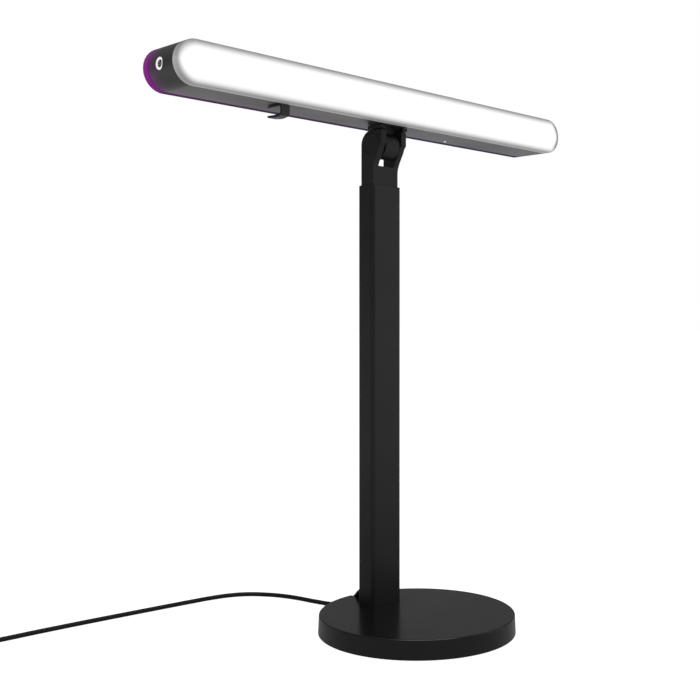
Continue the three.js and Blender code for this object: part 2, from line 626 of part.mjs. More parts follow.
const lying = CORD.radius + 0.3; // height of the cord's centre where it lies on the table
const cordRoute = [
  [0, 50.8, 17.5], [0.1, 52.8, 17.1], [0.5, 54.9, 15.8], [1.2, 57.3, 13.8], [1.9, 60.2, 11.6],
  [2.3, 63.5, 9.4], [2.7, 68, 6.8], [3, 74, 4.3], [2.9, 81, 2.6], [2.2, 88, 1.9], [1, 95, lying],
  [-0.6, 104, lying], [-2.2, 115, lying],
  [-5.6, 128, lying], [-11.8, 140.5, lying], [-20.4, 151, lying], [-31.5, 157.4, lying],
  [-44, 160.5, lying], [-62, 162.4, lying], [-85, 164.2, lying], [-112, 166.2, lying],
  [-140, 168, lying], [-168, 169.3, lying], [-196, 169.9, lying], [-216, 170, 2], [-231, 170, 2.2],
];
const tailRoute = [
  [plugX, 140, 10.6], [plugX, 134, 9.6], [plugX, 126, 7.4], [plugX, 118, 5.2], [plugX, 110.3, 4.2],
];

function coilRing() {
  const halfWidth = COIL.columns * CORD.radius;
  const height = 2 * COIL.layers * CORD.radius;
  const [inner, outer] = [COIL.meanRadius - halfWidth, COIL.meanRadius + halfWidth];
  const [low, high] = [COIL.lift, COIL.lift + height];
  const corner = CORD.radius * 0.6;
  const profile = [
    [inner + corner, low], [outer - corner, low], [outer, low + corner], [outer, high - corner],
    [outer - corner, high], [inner + corner, high], [inner, high - corner], [inner, low + corner],
    [inner + corner, low],
  ];
  return turned(profile, 32).translate(COIL.x, COIL.y, 0);
}

// A strap closed round the coil's bundle of turns, wider on the inside of the bend.
function cordTie() {
  const outside = -COIL.columns * CORD.radius - GAP;
  const inside = COIL.columns * CORD.radius + GAP + 0.5;
  const top = COIL.lift + 2 * COIL.layers * CORD.radius + GAP;
  const outline = rectangle(outside - TIE.thickness, inside + TIE.thickness, 0, top + TIE.thickness);
  outline.holes.push(rectangle(outside, inside, COIL.lift - GAP, top));
  const band = sideProfile(outline, -TIE.width / 2, TIE.width / 2, 2);
  return band.translate(COIL.x, COIL.y - COIL.meanRadius, 0);
}

const plugMiddle = PLUG.height / 2 + PLUG.lift;

function plugBody() {
  const shape = roundedRect(PLUG.width, PLUG.height, PLUG.corner);
  const body = extrude(shape, PLUG.length, 2, 1, 2).rotateX(Math.PI / 2);
  return body.translate(plugX, PLUG.rear, plugMiddle);
}

// The metal sleeve of the plug, with its open mouth over the contact tongue.
function plugShell() {
  const { width, height, length, corner, mouthHalf, mouthTop, floor } = SHELL;
  const sleeve = extrude(roundedRect(width, height, corner), length, 2).rotateX(Math.PI / 2);
  const mouth = block([-mouthHalf, -length - 1, 0], [mouthHalf, -floor, mouthTop]);
  return cut(sleeve, mouth).translate(plugX, PLUG.rear - PLUG.length - GAP, plugMiddle);
}

add(bar, 'head_lead', headLead(), cordBlack);
add(lamp, 'power_cord', cordTube(cordRoute, CORD.radius, 46), cordBlack);
add(lamp, 'power_cord_coil', coilRing(), cordBlack);
add(lamp, 'power_cord_tail', cordTube(tailRoute, CORD.radius, 6), cordBlack);
add(lamp, 'cord_tie', cordTie(), rubber);
add(lamp, 'usb_plug_body', plugBody(), blackPlastic);
add(lamp, 'usb_plug_shell', plugShell(), steel);

export default lamp;
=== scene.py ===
"""Desk light bar: the looks of a lit bar on a telescoping post with a round weighted base.

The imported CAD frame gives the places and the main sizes. This script adds the fine shapes and the
procedural materials in the same frame, in metres, with +Z up and the light facing -Y.
"""
import json
import math

import bmesh
import bpy
from mathutils import Matrix, Vector


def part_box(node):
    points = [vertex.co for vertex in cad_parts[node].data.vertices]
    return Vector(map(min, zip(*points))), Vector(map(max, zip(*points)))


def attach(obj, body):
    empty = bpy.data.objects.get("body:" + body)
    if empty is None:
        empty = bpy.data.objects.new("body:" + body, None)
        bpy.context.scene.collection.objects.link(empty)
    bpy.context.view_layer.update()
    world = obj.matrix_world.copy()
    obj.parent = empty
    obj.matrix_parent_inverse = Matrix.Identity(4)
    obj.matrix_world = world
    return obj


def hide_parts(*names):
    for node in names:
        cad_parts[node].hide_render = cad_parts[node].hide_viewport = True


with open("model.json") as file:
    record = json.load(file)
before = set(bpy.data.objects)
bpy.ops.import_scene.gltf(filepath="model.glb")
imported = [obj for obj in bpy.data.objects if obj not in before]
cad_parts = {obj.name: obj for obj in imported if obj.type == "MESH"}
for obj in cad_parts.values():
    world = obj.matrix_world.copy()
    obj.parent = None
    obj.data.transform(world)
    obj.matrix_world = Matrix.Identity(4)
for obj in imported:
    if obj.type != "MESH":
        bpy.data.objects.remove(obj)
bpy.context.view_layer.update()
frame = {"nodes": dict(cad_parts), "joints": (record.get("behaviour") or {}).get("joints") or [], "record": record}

scene = bpy.context.scene
nodes = frame["nodes"]
hinge = Vector(next(j for j in frame["joints"] if j["name"] == "head_tilt")["pos_m"])
FIT = 0.0003  # clearance between pieces that slide or plug together
PAST = 0.01  # how far a cutter runs past the face that it cuts


def box_of(node):
    """The low corner, high corner, size and middle of a CAD node."""
    low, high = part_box(node)
    return low, high, high - low, (low + high) / 2


# ---------------------------------------------------------------- camera
CAMERA_PLACE = Vector((-0.4960, -0.4771, 0.1951))
CAMERA_LOOK = Vector((0.7242, 0.6896, 0.0))
CAMERA_LENS_MM = 55.32
CAMERA_SENSOR_MM = 36.0
CAMERA_SHIFT = (-0.1034, -0.0332)


def make_camera():
    data = bpy.data.cameras.new("camera")
    data.lens = CAMERA_LENS_MM
    data.sensor_width = CAMERA_SENSOR_MM
    data.shift_x, data.shift_y = CAMERA_SHIFT
    data.clip_start = 0.01
    camera = bpy.data.objects.new("camera", data)
    camera.location = CAMERA_PLACE
    camera.rotation_euler = CAMERA_LOOK.to_track_quat("-Z", "Y").to_euler()
    scene.collection.objects.link(camera)
    scene.camera = camera


make_camera()

# ---------------------------------------------------------------- meshes
SMALLEST_CORNER = 0.00005
WELD = 1e-7
SHARP_ANGLE = math.radians(35)
BEVEL_ANGLE = math.radians(50)


def arc(centre, radius, start, end, steps):
    """Points on an arc about a 2D centre, both ends included, angles in radians."""
    angles = [start + (end - start) * i / steps for i in range(steps + 1)]
    return [Vector((centre[0] + radius * math.cos(a), centre[1] + radius * math.sin(a))) for a in angles]


def softened(corners, closed=False, steps=4):
    """A 2D line through (u, v, radius) corners, with each corner rounded to its radius."""
    points = []
    last = len(corners) - 1
    for i, (u, v, radius) in enumerate(corners):
        here = Vector((u, v))
        if radius == 0 or (not closed and i in (0, last)):
            points.append(here)
            continue
        before = (Vector(corners[i - 1][:2]) - here).normalized()
        after = (Vector(corners[0 if i == last else i + 1][:2]) - here).normalized()
        half = before.angle(after) / 2
        start = here + before * radius / math.tan(half)
        centre = here + (before + after).normalized() * radius / math.sin(half)
        first = math.atan2(*(start - centre).yx)
        side = 1 if before.x * after.y - before.y * after.x < 0 else -1
        turn = side * (math.pi - 2 * half)
        points += arc(centre, radius, first, first + turn, steps)
    return points


def circle(radius, count):
    """A round outline: a function from inset to a ring of 2D points."""
    def ring(inset):
        return [
            Vector(((radius - inset) * math.cos(a), (radius - inset) * math.sin(a)))
            for a in (2 * math.pi * i / count for i in range(count))
        ]
    return ring


def rounded_rect(width, depth, corner, steps=8):
    """A rectangle with round corners, as a function from inset to a ring of 2D points."""
    def ring(inset):
        radius = max(corner - inset, SMALLEST_CORNER)
        reach_u, reach_v = width / 2 - inset - radius, depth / 2 - inset - radius
        points = []
        for k, (su, sv) in enumerate(((1, 1), (-1, 1), (-1, -1), (1, -1))):
            start = k * math.pi / 2
            points += arc((su * reach_u, sv * reach_v), radius, start, start + math.pi / 2, steps)
        return points
    return ring


def stadium(length, height, steps=32):
    """A strip with full round ends, as a function from inset to a ring of 2D points."""
    def ring(inset):
        radius = height / 2 - inset
        reach = (length - height) / 2
        right = arc((reach, 0), radius, -math.pi / 2, math.pi / 2, steps)
        left = arc((-reach, 0), radius, math.pi / 2, 1.5 * math.pi, steps)
        return right + left
    return ring


def freehand(points):
    """Any outline without sharp notches, inset by moving each point along its own normal."""
    area = sum(p.x * q.y - q.x * p.y for p, q in zip(points, points[1:] + points[:1]))
    side = 1 if area > 0 else -1

    def ring(inset):
        moved = []
        for i, here in enumerate(points):
            before = (here - points[i - 1]).normalized()
            after = (points[(i + 1) % len(points)] - here).normalized()
            normal = Vector((-before.y - after.y, before.x + after.x)).normalized() * side
            lengthen = max(0.5, normal.dot(Vector((-before.y, before.x)) * side))
            moved.append(here + normal * inset / lengthen)
        return moved
    return ring


# Where an outline's two directions and its section's height go, as the columns of a matrix.
ALONG_Z = Matrix.Identity(3)
ALONG_Y = Matrix(((1, 0, 0), (0, 0, 1), (0, 1, 0)))
ALONG_X = Matrix(((0, 0, 1), (1, 0, 0), (0, 1, 0)))


def swept(outline, section, axes, centre=(0, 0, 0), closed=False):
    """A mesh whose section of (inset, height) points runs round an outline.

    A closed section makes a ring or tube. An open one makes a solid with flat ends.
    """
    bm = bmesh.new()
    loops = []
    for inset, height in section:
        ring = [axes @ Vector((p.x, p.y, height)) + Vector(centre) for p in outline(inset)]
        loops.append([bm.verts.new(place) for place in ring])
    pairs = list(zip(loops, loops[1:]))
    if closed:
        pairs.append((loops[-1], loops[0]))
    for low, high in pairs:
        for i in range(len(low)):
            j = (i + 1) % len(low)
            bm.faces.new((low[i], low[j], high[j], high[i]))
    if not closed:
        bm.faces.new(loops[0])
        bm.faces.new(loops[-1])
    return to_mesh(bm)


def turned(corners, axes, centre=(0, 0, 0), count=96, closed=False):
    """A shape turned about its height axis from (radius, height, corner radius) corners."""
    section = [(-p.x, p.y) for p in softened(corners, closed)]
    return swept(circle(0, count), section, axes, centre, closed)


def to_mesh(bm):
    """A mesh of the faces built so far, welded and facing outwards."""
    bmesh.ops.remove_doubles(bm, verts=bm.verts, dist=WELD)
    bmesh.ops.recalc_face_normals(bm, faces=bm.faces)
    mesh = bpy.data.meshes.new("mesh")
    bm.to_mesh(mesh)
    bm.free()
    return mesh


def box_mesh(low, high, edge=0.0):
    """A block between two corners, with its edges rounded where edge is given."""
    size = Vector(high) - Vector(low)
    middle = (Vector(high) + Vector(low)) / 2
    bm = bmesh.new()
    bmesh.ops.create_cube(bm, size=1, matrix=Matrix.Translation(middle) @ Matrix.Diagonal((*size, 1)))
    if edge > 0:
        bmesh.ops.bevel(bm, geom=bm.edges, offset=edge, segments=3, profile=0.5, affect="EDGES")
    return to_mesh(bm)


def rod(radius, low, high, axes, centre=(0, 0, 0), edge=0.0, count=48):
    """A rod along an axis between two heights, with round edges where edge is given."""
    section = [(edge, low, 0), (0, low, edge), (0, high, edge), (edge, high, 0)]
    return swept(circle(radius, count), [(p.x, p.y) for p in softened(section)], axes, centre)


def carved(mesh, cutters, operation="DIFFERENCE"):
    """The mesh with other closed meshes cut from it, or joined to it."""
    body = bpy.data.objects.new("body", mesh)
    scene.collection.objects.link(body)
    tools = []
    for cutter in cutters:
        tool = bpy.data.objects.new("tool", cutter)
        scene.collection.objects.link(tool)
        modifier = body.modifiers.new("carve", "BOOLEAN")
        modifier.operation = operation
        modifier.solver = "EXACT"
        modifier.object = tool
        tools.append(tool)
    bpy.context.view_layer.update()
    result = bpy.data.meshes.new_from_object(body.evaluated_get(bpy.context.evaluated_depsgraph_get()))
    for tool in tools + [body]:
        bpy.data.objects.remove(tool)
    return result


def merged(meshes):
    """One mesh of several that don't touch."""
    bm = bmesh.new()
    for mesh in meshes:
        bm.from_mesh(mesh)
    return to_mesh(bm)


def piece(name, mesh, body, material, replaces=(), edge=0.0):
    """A named object of the lamp that rides on a body and may stand for CAD nodes."""
    obj = bpy.data.objects.new(name, mesh)
    scene.collection.objects.link(obj)
    mesh.materials.clear()
    mesh.materials.append(material)
    mesh.polygons.foreach_set("use_smooth", [True] * len(mesh.polygons))
    mesh.set_sharp_from_angle(angle=SHARP_ANGLE)
    if edge > 0:
        bevel = obj.modifiers.new("edges", "BEVEL")
        bevel.width = edge
        bevel.segments = 3
        bevel.limit_method = "ANGLE"
        bevel.angle_limit = BEVEL_ANGLE
        bevel.harden_normals = True
    normals = obj.modifiers.new("normals", "WEIGHTED_NORMAL")
    normals.keep_sharp = True
    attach(obj, body)
    if replaces:
        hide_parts(*replaces)
    return obj


# ---------------------------------------------------------------- materials
class Nodes:
    """Short calls for building one material's node tree."""

    def __init__(self, name):
        self.material = bpy.data.materials.new(name)
        self.material.use_nodes = True
        self.tree = self.material.node_tree
        self.shader = self.tree.nodes["Principled BSDF"]
        coordinates = self.tree.nodes.new("ShaderNodeTexCoord")
        self.place = coordinates.outputs["Object"]

    def link(self, source, target):
        self.tree.links.new(source, target)

    def noise(self, scale, detail=2.0):
        node = self.tree.nodes.new("ShaderNodeTexNoise")
        node.inputs["Scale"].default_value = scale
        node.inputs["Detail"].default_value = detail
        self.link(self.place, node.inputs["Vector"])
        return node.outputs["Fac"]

    def spread(self, source, low, high, start=0.3, end=0.7):
        """Maps start..end onto low..high; left out, they are a noise texture's usual range."""
        node = self.tree.nodes.new("ShaderNodeMapRange")
        node.inputs["From Min"].default_value = start
        node.inputs["From Max"].default_value = end
        node.inputs["To Min"].default_value = low
        node.inputs["To Max"].default_value = high
        self.link(source, node.inputs["Value"])
        return node.outputs["Result"]

    def ramp(self, source, stops):
        """A colour ramp of (place, colour) stops; a colour is a grey or red, green and blue."""
        node = self.tree.nodes.new("ShaderNodeValToRGB")
        elements = node.color_ramp.elements
        while len(elements) < len(stops):
            elements.new(0.5)
        for element, (place, colour) in zip(elements, stops):
            element.position = place
            rgb = (colour,) * 3 if isinstance(colour, (int, float)) else colour
            element.color = (*rgb, 1)
        self.link(source, node.inputs["Fac"])
        return node.outputs["Color"]

    def axis(self, name):
        """A point's own X, Y or Z in the object at rest."""
        separate = self.tree.nodes.new("ShaderNodeSeparateXYZ")
        self.link(self.place, separate.inputs["Vector"])
        return separate.outputs[name]

    def along(self, name, low, high):
        """A factor from 0 to 1 between two places along X, Y or Z."""
        return self.spread(self.axis(name), 0.0, 1.0, low, high)

    def math(self, operation, first, second=0.0):
        """One arithmetic step; each value is a socket or a number."""
        node = self.tree.nodes.new("ShaderNodeMath")
        node.operation = operation
        for socket, value in zip(node.inputs, (first, second)):
            if isinstance(value, (int, float)):
                socket.default_value = value
            else:
                self.link(value, socket)
        return node.outputs["Value"]

    def hypotenuse(self, first, second):
        squares = self.math("ADD", self.math("POWER", first, 2.0), self.math("POWER", second, 2.0))
        return self.math("SQRT", squares)

    def bump(self, source, depth):
        node = self.tree.nodes.new("ShaderNodeBump")
        node.inputs["Distance"].default_value = depth
        node.inputs["Strength"].default_value = 1.0
        self.link(source, node.inputs["Height"])
        self.link(node.outputs["Normal"], self.shader.inputs["Normal"])

    def set(self, **values):
        """Plain values on the shader's inputs, named with _ for a space."""
        for name, value in values.items():
            socket = self.shader.inputs[name.replace("_", " ")]
            socket.default_value = (*value, 1) if isinstance(value, tuple) else value


def shade(colour, factor):
    """A colour made darker or lighter."""
    return tuple(min(1.0, c * factor) for c in colour)


def grained(name, colour, roughness, grain, depth, vary=0.12, **values):
    """A moulded or coated surface: fine grain, faint mottling, and roughness that wanders."""
    n = Nodes(name)
    mottle = n.noise(60, 4)
    n.link(n.ramp(mottle, [(0.3, shade(colour, 1 - vary)), (0.7, shade(colour, 1 + vary))]),
           n.shader.inputs["Base Color"])
    smudge = n.noise(25, 5)
    n.link(n.spread(smudge, roughness[0], roughness[1]), n.shader.inputs["Roughness"])
    n.bump(n.noise(grain, 3), depth)
    n.set(**values)
    return n.material


powder_coat = grained("powder_coat", (0.009, 0.009, 0.0092), roughness=(0.30, 0.40), grain=2200,
                      depth=0.00002, Specular_IOR_Level=0.45)
cover_coat = grained("cover_coat", (0.006, 0.006, 0.0062), roughness=(0.2, 0.28), grain=2200,
                     depth=0.00001, Specular_IOR_Level=0.5)
black_plastic = grained("black_plastic", (0.013, 0.013, 0.0132), roughness=(0.40, 0.50), grain=1800,
                        depth=0.00002, Specular_IOR_Level=0.4)
satin_plastic = grained("satin_plastic", (0.035, 0.035, 0.036), roughness=(0.30, 0.38), grain=900,
                        depth=0.00001, Specular_IOR_Level=0.45)
pad_rubber = grained("pad_rubber", (0.015, 0.015, 0.015), roughness=(0.75, 0.9), grain=1200,
                     depth=0.00006)
sheath = grained("cord_sheath", (0.012, 0.012, 0.0125), roughness=(0.38, 0.5), grain=700,
                 depth=0.00002, Specular_IOR_Level=0.3)
zinc = grained("zinc_steel", (0.55, 0.56, 0.58), roughness=(0.25, 0.4), grain=3000,
               depth=0.00001, Metallic=1.0)
iron = grained("cast_iron", (0.16, 0.16, 0.165), roughness=(0.6, 0.8), grain=500,
               depth=0.0002, Metallic=0.9)
bare_aluminium = grained("bare_aluminium", (0.72, 0.73, 0.74), roughness=(0.3, 0.45), grain=1500,
                         depth=0.00001, Metallic=1.0)
solder_mask = grained("solder_mask", (0.02, 0.11, 0.05), roughness=(0.3, 0.45), grain=900,
                      depth=0.00002)
white_plastic = grained("white_plastic", (0.8, 0.8, 0.79), roughness=(0.35, 0.45), grain=900,
                        depth=0.00001, vary=0.02)

materials = {
    "black_metal": powder_coat,
    "black_plastic": black_plastic,
    "housing_plastic": satin_plastic,
    "rubber": pad_rubber,
    "steel": zinc,
    "weight_iron": iron,
    "aluminium": bare_aluminium,
    "opal_white": white_plastic,
    "colour_panel": white_plastic,
    "circuit_board": solder_mask,
    "cord_sheath": sheath,
}
for row in frame["record"]["subparts"]:
    mesh = nodes[row["node"]].data
    mesh.materials.clear()
    mesh.materials.append(materials[row["material_slot"]])

# ---------------------------------------------------------------- room
FLOOR_SIZE = 30
FLOOR_SEEN = 1.0
FLOOR_GLOW = (0.12, 0.5)  # how strongly it lights the lamp from close by, and from well away
FLOOR_GLOW_REACH = (0.3, 1.2)  # where those two strengths hold, from the post
SKY_SEEN = 1.0
SKY_GLOW = 0.18


def seen_or_not(tree, seen, unseen):
    """A strength with one value where the picture shows it and another where it lights the lamp."""
    ray = tree.nodes.new("ShaderNodeLightPath")
    strength = tree.nodes.new("ShaderNodeMapRange")
    strength.inputs["To Max"].default_value = seen
    if isinstance(unseen, float):
        strength.inputs["To Min"].default_value = unseen
    else:
        tree.links.new(unseen, strength.inputs["To Min"])
    tree.links.new(ray.outputs["Is Camera Ray"], strength.inputs["Value"])
    return strength.outputs["Result"]


def make_room():
    bm = bmesh.new()
    bmesh.ops.create_grid(bm, x_segments=1, y_segments=1, size=FLOOR_SIZE)
    floor = bpy.data.objects.new("floor", to_mesh(bm))
    n = Nodes("floor_paper")
    n.set(Base_Color=(0.3, 0.3, 0.3), Roughness=1.0, Specular_IOR_Level=0.0,
          Emission_Color=(1.0, 1.0, 1.0))
    glow = n.spread(n.hypotenuse(n.axis("X"), n.axis("Y")), *FLOOR_GLOW, *FLOOR_GLOW_REACH)
    n.link(seen_or_not(n.tree, FLOOR_SEEN, glow), n.shader.inputs["Emission Strength"])
    floor.data.materials.append(n.material)
    scene.collection.objects.link(floor)

    world = bpy.data.worlds.new("studio")
    world.use_nodes = True
    scene.world = world
    background = world.node_tree.nodes["Background"]
    background.inputs["Color"].default_value = (1, 1, 1, 1)
    strength = seen_or_not(world.node_tree, SKY_SEEN, SKY_GLOW)
    world.node_tree.links.new(strength, background.inputs["Strength"])
    scene.view_settings.view_transform = "Standard"


def area_light(name, place, target, size, power):
    data = bpy.data.lights.new(name, "AREA")
    data.shape = "RECTANGLE"
    data.size, data.size_y = size
    data.energy = power
    light = bpy.data.objects.new(name, data)
    light.location = place
    light.rotation_euler = (Vector(target) - Vector(place)).to_track_quat("-Z", "Y").to_euler()
    scene.collection.objects.link(light)


make_room()
area_light("softbox_right", place=(1.3, -0.9, 0.9), target=(0, 0, 0.1), size=(1.2, 1.6), power=2.5)
area_light("softbox_top", place=(-0.2, -0.4, 1.8), target=(0, 0, 0), size=(1.6, 1.6), power=18)

# ---------------------------------------------------------------- cord
_, post_high, post_size, post_middle = box_of("outer_tube")
POST_CORNER = 0.0025
LEAD_HEIGHT = 0.0175
CORD_RADIUS = 0.0015
LYING = 0.0018  # height of the cord's middle where it lies on the desk
COIL_CENTRE = Vector((-0.243, 0.15125))
COIL_FIRST_HEIGHT = 0.0022
CORD_STEP = 0.003  # from one turn to the next, beside it or on it
COIL_COLUMNS = 3
COIL_LAYERS = 4
COIL_TURNS = 11.25
OUTER_TURN = 0.01875  # radius of the outermost turns
POINTS_A_TURN = 36
STEP_ARC = 40  # degrees over which a turn moves to its next place

route = [
    (0, 0.0508, LEAD_HEIGHT), (0.0001, 0.0528, 0.0171), (0.0005, 0.0549, 0.0158),
    (0.0012, 0.0573, 0.0138), (0.0019, 0.0602, 0.0116), (0.0023, 0.0635, 0.0094),
    (0.0027, 0.068, 0.0068), (0.003, 0.074, 0.0043), (0.0029, 0.081, 0.0026),
    (0.0022, 0.088, 0.0019), (0.001, 0.095, LYING), (-0.0006, 0.104, LYING),
    (-0.0022, 0.115, LYING), (-0.0056, 0.128, LYING), (-0.0118, 0.1405, LYING),
    (-0.0204, 0.151, LYING), (-0.0315, 0.1574, LYING), (-0.044, 0.1605, LYING),
    (-0.062, 0.1624, LYING), (-0.085, 0.1642, LYING), (-0.112, 0.1662, LYING),
    (-0.140, 0.168, LYING), (-0.168, 0.1693, LYING), (-0.196, 0.1699, LYING),
    (-0.216, 0.170, 0.002), (-0.231, 0.170, 0.0022),
]
TAIL_X = COIL_CENTRE.x - OUTER_TURN
tail = [(TAIL_X, 0.140, 0.0106), (TAIL_X, 0.134, 0.0096), (TAIL_X, 0.126, 0.0074),
        (TAIL_X, 0.118, 0.0052), (TAIL_X, 0.1103, 0.0042)]


def smooth(t):
    """An even start and stop between 0 and 1."""
    t = min(max(t, 0.0), 1.0)
    return t * t * (3 - 2 * t)


def coil_points():
    """The wound turns: layers of three, each turn held at one radius and moved on over a short arc.

    With each layer the sideways moves come two arcs earlier in the turn, and the rise to the next
    layer comes an arc before them, so no strand meets another.
    """
    moves = []  # (degrees where it starts, change of radius, change of height)
    for layer in range(COIL_LAYERS):
        inward = -CORD_STEP if layer % 2 == 0 else CORD_STEP
        first_turn = COIL_COLUMNS * layer
        shift_at = 360 - STEP_ARC * (1 + 2 * layer)
        for turn in range(first_turn, first_turn + COIL_COLUMNS - 1):
            moves.append((360 * turn + shift_at, inward, 0.0))
        if layer < COIL_LAYERS - 1:
            moves.append((360 * (first_turn + COIL_COLUMNS - 1) + shift_at - STEP_ARC, 0.0, CORD_STEP))
    points = []
    for i in range(int(COIL_TURNS * POINTS_A_TURN) + 1):
        degrees = 360 * i / POINTS_A_TURN
        radius, height = OUTER_TURN, COIL_FIRST_HEIGHT
        for start, grow, rise in moves:
            done = smooth((degrees - start) / STEP_ARC)
            radius += grow * done
            height += rise * done
        angle = math.pi / 2 + math.radians(degrees)
        points.append((COIL_CENTRE.x + radius * math.cos(angle),
                       COIL_CENTRE.y + radius * math.sin(angle), height))
    return points


def make_cord(with_pieces):
    points = route + coil_points() + tail
    data = bpy.data.curves.new("power_lead", "CURVE")
    data.dimensions = "3D"
    data.bevel_depth = CORD_RADIUS
    data.bevel_resolution = 5
    data.use_fill_caps = True
    data.resolution_u = 4
    spline = data.splines.new("BEZIER")
    spline.bezier_points.add(len(points) - 1)
    for point, place in zip(spline.bezier_points, points):
        point.co = place
        point.handle_left_type = point.handle_right_type = "AUTO"
    cord = bpy.data.objects.new("power_lead", data)
    scene.collection.objects.link(cord)
    data.materials.append(sheath)
    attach(cord, "base")
    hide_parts("power_cord", "power_cord_coil", "power_cord_tail")


def make_strap():
    """A soft strap round the coil's turns, with a bead along each edge and a flat catch on top."""
    low, high, size, middle = box_of("cord_tie")
    thick, corner, soft = 0.0008, 0.0022, 0.0002
    bead, bead_width, bead_foot = 0.0003, 0.0009, 0.0012
    section = softened([
        (0, low.x, soft), (0, low.x + bead_width, soft), (bead, low.x + bead_foot, soft / 2),
        (bead, high.x - bead_foot, soft / 2), (0, high.x - bead_width, soft), (0, high.x, soft),
        (thick, high.x, soft), (thick, low.x, soft),
    ], True, steps=3)
    strap = swept(rounded_rect(size.y, size.z, corner), section, ALONG_X, (0, middle.y, middle.z),
                  closed=True)
    inset, catch_start, catch_end, catch_low, catch_high = 0.0004, 0.0012, 0.0026, 0.0009, 0.0001
    catch = box_mesh((low.x + inset, middle.y - catch_start, high.z - catch_low),
                     (high.x - inset, middle.y + catch_end, high.z - catch_high), 0.0003)
    mesh = carved(strap, [catch], "UNION")
    return piece("cord_strap", mesh, "base", pad_rubber, ["cord_tie"])


def make_plug_body():
    """The plug's moulded body, with grip grooves round it and a round neck for the cord."""
    low, high, size, middle = box_of("usb_plug_body")
    core, corner, soft = 0.003, 0.0024, 0.0001
    grips, first_grip, grip_pitch = 4, 0.0065, 0.002
    groove_depth, groove_width, groove_ramp = 0.0004, 0.0012, 0.0003
    neck, neck_radius, shoulder = 0.0035, 0.0024, 0.0009
    rear = high.y - neck
    line = [(core, low.y, 0), (0, low.y, 0.0005)]
    for i in range(grips):
        start = low.y + first_grip + grip_pitch * i
        end = start + groove_width
        line += [(0, start, soft), (groove_depth, start + groove_ramp, soft),
                 (groove_depth, end - groove_ramp, soft), (0, end, soft)]
    line += [(0, rear - 0.002, 0.0006), (shoulder, rear, 0.0005), (core, rear, 0)]
    section = [(p.x, p.y) for p in softened(line)]
    body = swept(rounded_rect(size.x, size.z, corner), section, ALONG_Y, (middle.x, 0, middle.z))
    sleeve = rod(neck_radius, rear - 0.001, high.y, ALONG_Y, (middle.x, 0, middle.z), 0.0004)
    return piece("plug_body", carved(body, [sleeve], "UNION"), "base",
                 black_plastic, ["usb_plug_body"])


def make_plug_end():
    """The plug's metal sleeve with two windows, and the tongue in it with four contacts."""
    low, high, size, middle = box_of("usb_plug_shell")
    wall, corner, gap, past = 0.0003, 0.0005, 0.0004, 0.001
    window_x, window_half, window_start, window_end = 0.0028, 0.0011, 0.0045, 0.0067
    contact_half, contact_start, contact_end = 0.0005, 0.0012, 0.0085
    section = [(0, low.y), (0, high.y), (wall, high.y), (wall, low.y)]
    shell = swept(rounded_rect(size.x, size.z, corner), section, ALONG_Y, (middle.x, 0, middle.z),
                  closed=True)
    windows = []
    for x in (middle.x - window_x, middle.x + window_x):
        windows.append(box_mesh((x - window_half, low.y + window_start, low.z - past),
                                (x + window_half, low.y + window_end, high.z + past), 0.0001))
    shell_piece = piece("plug_shell", carved(shell, windows), "base", zinc, ["usb_plug_shell"])
    tongue_top = middle.z - 0.0001
    tongue = box_mesh((low.x + gap, low.y + gap, low.z + gap),
                      (high.x - gap, high.y - 0.0001, tongue_top), 0.0002)
    tongue_piece = piece("plug_tongue", tongue, "base", black_plastic)
    contacts = []
    for x in (-0.0035, -0.001, 0.001, 0.0035):
        contacts.append(box_mesh(
            (middle.x + x - contact_half, low.y + contact_start, tongue_top - 0.0001),
            (middle.x + x + contact_half, low.y + contact_end, tongue_top + 0.0002), 0.00008))
    contacts_piece = piece("plug_contacts", merged(contacts), "base", zinc)
    return [shell_piece, tongue_piece, contacts_piece]


def make_strain_relief():
    """A rubber sleeve that tapers along the cord, with grooves round it."""
    low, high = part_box("cord_grommet")
    wall = post_high.y
    bore, shank, flange, flange_end = 0.0016, 0.0023, 0.0036, 0.0016
    root, taper, tip = 0.0029, 0.0008, 0.0020
    first_rib, pitch, rib, plain_end = 0.0022, 0.00125, 0.0008, 0.0006
    groove_depth, groove_end = 0.0005, 0.0012
    corners = [(bore, low.y, 0), (shank, low.y, 0.0002), (shank, wall + FIT, 0),
               (flange, wall + FIT, 0.0002), (flange, wall + flange_end, 0.0004)]
    y = wall + first_rib
    while y + pitch < high.y - plain_end:
        radius = root - taper * (y - wall) / (high.y - wall)
        corners += [(radius, y, 0.0001), (radius, y + rib, 0.0001),
                    (radius - groove_depth, y + rib + 0.0001, 0),
                    (radius - groove_depth, y + groove_end, 0)]
        y += pitch
    corners += [(root - taper, y, 0.0001), (tip, high.y, 0.0003), (bore, high.y, 0)]
    mesh = turned(corners, ALONG_Y, (0, 0, LEAD_HEIGHT), count=48, closed=True)
    return piece("strain_relief", mesh, "base", pad_rubber, ["cord_grommet"])


make_cord([make_strain_relief(), make_strap(), make_plug_body(), *make_plug_end()])

# ---------------------------------------------------------------- base
base_low, base_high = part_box("base_cover")
screw_places = [box_of(f"cover_screw_{i}")[-1] for i in (1, 2, 3)]
NOTCH_X = 0.002  # the notch lets the cord out through the cover's rear edge
NOTCH_HALF = 0.0023
NOTCH_INNER = 0.0565
NOTCH_FLOOR = 0.0068
NOTCH_WALL = 0.0016
NOTCH_SIDE_WALL = 0.0019


